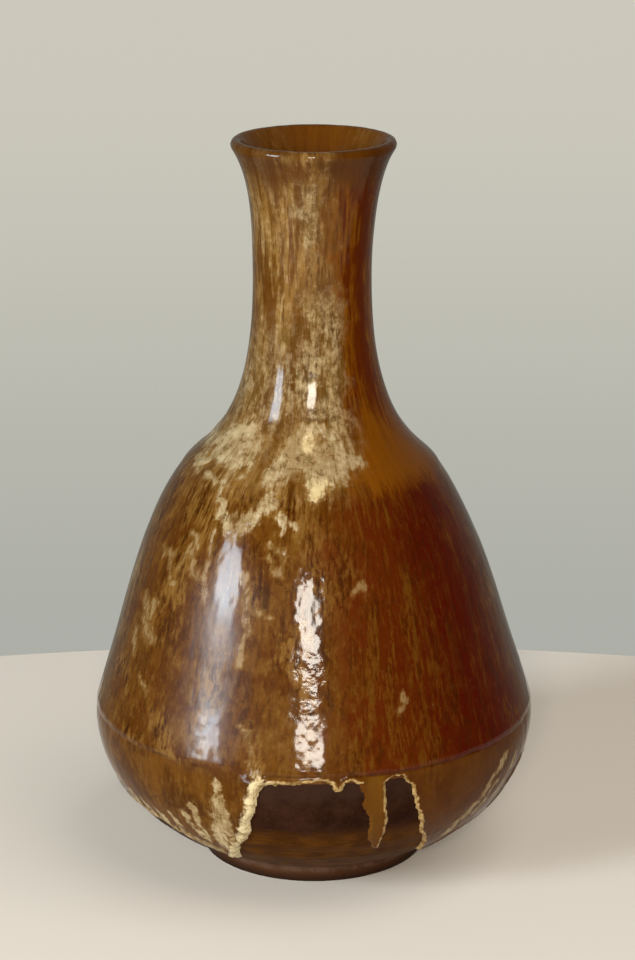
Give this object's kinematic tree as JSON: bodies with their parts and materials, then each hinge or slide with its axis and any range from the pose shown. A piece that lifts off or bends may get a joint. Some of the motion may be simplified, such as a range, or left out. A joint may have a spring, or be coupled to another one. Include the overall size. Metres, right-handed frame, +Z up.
{
  "type": "bud vase",
  "caption": "Glazed stoneware bud vase with a round belly, a slender flared neck and a low foot ring, coated in layered run glazes.",
  "frame": {"origin": "centre of the foot ring's contact face, on the surface that the vase stands on", "axes": "+Z up along the vase's axis, -Y towards the front, +X to the right seen from the front"},
  "size_m": [0.1214, 0.1216, 0.2],
  "materials": {
    "bare_clay": "satin",
    "slip": "matte",
    "liner": "gloss",
    "base_coat": "gloss",
    "upper_coat": "gloss",
    "cream": "gloss"
  },
  "bodies": {
    "root": {"foot_ring": "bare_clay", "belly_wall": "bare_clay", "shoulder_slip": "slip", "neck_wall": "bare_clay", "liner_glaze": "liner", "base_glaze": "base_coat", "upper_glaze": "upper_coat", "cream_glaze": "cream", "glaze_rolls": "cream"}
  },
  "joints": []
}
